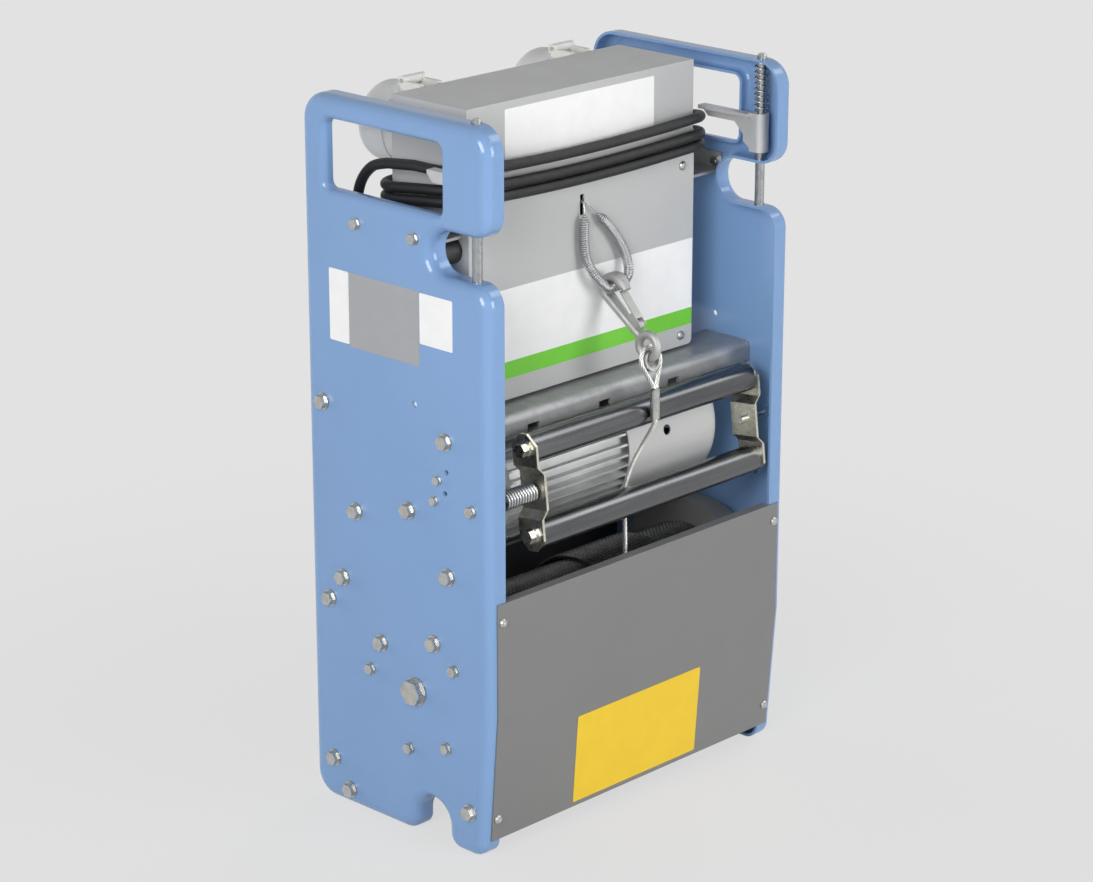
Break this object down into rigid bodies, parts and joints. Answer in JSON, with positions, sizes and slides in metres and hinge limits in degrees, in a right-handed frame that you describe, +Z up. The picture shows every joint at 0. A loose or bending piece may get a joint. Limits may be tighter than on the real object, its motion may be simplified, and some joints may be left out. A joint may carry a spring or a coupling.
{
  "type": "material hoist winch unit",
  "caption": "Winch unit of a ladder hoist: folded side plates with rail slots carry a control box, geared motor, rope drum, swinging rope guide and a parked load hook.",
  "frame": {"origin": "on the ground, midway between the side plates and midway between front and back", "axes": "+X to the right seen from the front, +Y to the back, +Z up"},
  "size_m": [0.472, 0.2719, 0.765],
  "materials": {
    "plate_paint": "satin powder coat",
    "galvanised": "galvanised",
    "bar_steel": "zinc plated",
    "fastener_zinc": "bright zinc",
    "rear_paint": "satin",
    "cover_paint": "satin",
    "box_paint": "satin",
    "black_plastic": "matte",
    "white_plastic": "semi gloss",
    "lead_rubber": "matte",
    "lever_steel": "zinc plated",
    "spring_steel": "bright",
    "tube_steel": "drawn",
    "yellow_zinc": "yellow zinc",
    "motor_alloy": "cast",
    "cowl_paint": "satin",
    "gear_steel": "machined",
    "gearbox_iron": "cast",
    "drum_paint": "satin",
    "rope_dark": "greased",
    "rope_bright": "galvanised",
    "hook_steel": "zinc plated"
  },
  "bodies": {
    "frame": {"left_side_plate": "plate_paint", "right_side_plate": "plate_paint", "front_cross_member": "galvanised", "box_brackets": "galvanised", "contactor_rail": "galvanised", "tie_bars": "bar_steel", "drum_axle": "bar_steel", "cover_screws": "fastener_zinc", "back_screws": "fastener_zinc", "box_screws": "fastener_zinc", "lid_hinge_pins": "fastener_zinc", "guide_pivot_bolts": "fastener_zinc", "axle_bolts": "fastener_zinc", "m8_bolts": "fastener_zinc", "m6_bolts": "fastener_zinc", "bracket_nuts": "fastener_zinc", "switch_screws": "fastener_zinc", "bottom_rear_panel": "rear_paint", "front_cover": "cover_paint", "box_housing": "box_paint", "box_front_plate": "box_paint", "contactors": "black_plastic", "cable_gland": "black_plastic", "power_plug": "black_plastic", "limit_switch": "black_plastic", "socket_bodies": "white_plastic", "power_lead": "lead_rubber", "left_latch_spring": "spring_steel", "right_latch_spring": "spring_steel", "guide_pivot_spring": "spring_steel", "hook_spring": "spring_steel", "motor_housing": "motor_alloy", "motor_fan_cowl": "cowl_paint", "shaft_bearings": "gear_steel", "gearbox_cover": "gearbox_iron", "gearbox_housing": "gearbox_iron", "axle_flanges": "gearbox_iron", "rope_run": "rope_bright", "rope_eye": "rope_bright", "rope_ferrule": "rope_bright", "rope_thimble": "rope_bright", "load_hook": "hook_steel"},
    "drum": {"drum": "drum_paint", "drum_gear": "gear_steel", "drum_bearings": "gear_steel", "rope_core": "rope_dark", "rope_winding": "rope_dark"},
    "pinion": {"pinion_shaft": "gear_steel", "stage_wheel": "gear_steel"},
    "rotor": {"rotor_shaft": "gear_steel", "cooling_fan": "black_plastic"},
    "guide": {"guide_tubes": "tube_steel", "left_guide_bracket": "yellow_zinc", "right_guide_bracket": "yellow_zinc", "guide_tube_bolts": "fastener_zinc"},
    "latch_left": {"left_latch_rod": "bar_steel", "left_latch_lever": "lever_steel"},
    "latch_right": {"right_latch_rod": "bar_steel", "right_latch_lever": "lever_steel"},
    "lid_left": {"left_socket_lid": "white_plastic"},
    "lid_right": {"right_socket_lid": "white_plastic"},
    "hook_latch": {"hook_latch": "hook_steel"}
  },
  "joints": [
    {"name": "drum_spin", "type": "hinge", "parent": "frame", "child": "drum", "pos_m": [0, -0.027, 0.16], "axis": [1, 0, 0], "continuous": true},
    {"name": "pinion_spin", "type": "hinge", "parent": "frame", "child": "pinion", "pos_m": [0, 0.00183, 0.27649], "axis": [1, 0, 0], "continuous": true},
    {"name": "rotor_spin", "type": "hinge", "parent": "frame", "child": "rotor", "pos_m": [0, -0.01071, 0.3646], "axis": [1, 0, 0], "continuous": true},
    {"name": "guide_swing", "type": "hinge", "parent": "frame", "child": "guide", "pos_m": [0, -0.109, 0.374], "axis": [-1, 0, 0], "range_deg": [0, 8], "stiffness_Nm_per_rad": 4, "springref_deg": -11.46},
    {"name": "latch_left_slide", "type": "slide", "parent": "frame", "child": "latch_left", "axis": [0, 0, 1], "range_m": [0, 0.04], "stiffness_N_per_m": 300, "springref_m": -0.03, "deforming": ["left_latch_spring"]},
    {"name": "latch_right_slide", "type": "slide", "parent": "frame", "child": "latch_right", "axis": [0, 0, 1], "range_m": [0, 0.04], "stiffness_N_per_m": 300, "springref_m": -0.03, "deforming": ["right_latch_spring"]},
    {"name": "lid_left_hinge", "type": "hinge", "parent": "frame", "child": "lid_left", "pos_m": [-0.109, 0.09, 0.759], "axis": [1, 0, 0], "range_deg": [0, 100], "stiffness_Nm_per_rad": 0.05, "springref_deg": -22.92},
    {"name": "lid_right_hinge", "type": "hinge", "parent": "frame", "child": "lid_right", "pos_m": [0.109, 0.09, 0.759], "axis": [1, 0, 0], "range_deg": [0, 100], "stiffness_Nm_per_rad": 0.05, "springref_deg": -22.92},
    {"name": "hook_latch_hinge", "type": "hinge", "parent": "frame", "child": "hook_latch", "pos_m": [0.024, -0.10095, 0.51065], "axis": [-1, 0, 0], "range_deg": [0, 15], "stiffness_Nm_per_rad": 0.02, "springref_deg": -17.19}
  ],
  "couplings": [
    {"joint": "pinion_spin", "follows": "drum_spin", "ratio": -4},
    {"joint": "rotor_spin", "follows": "drum_spin", "ratio": 21.429}
  ]
}
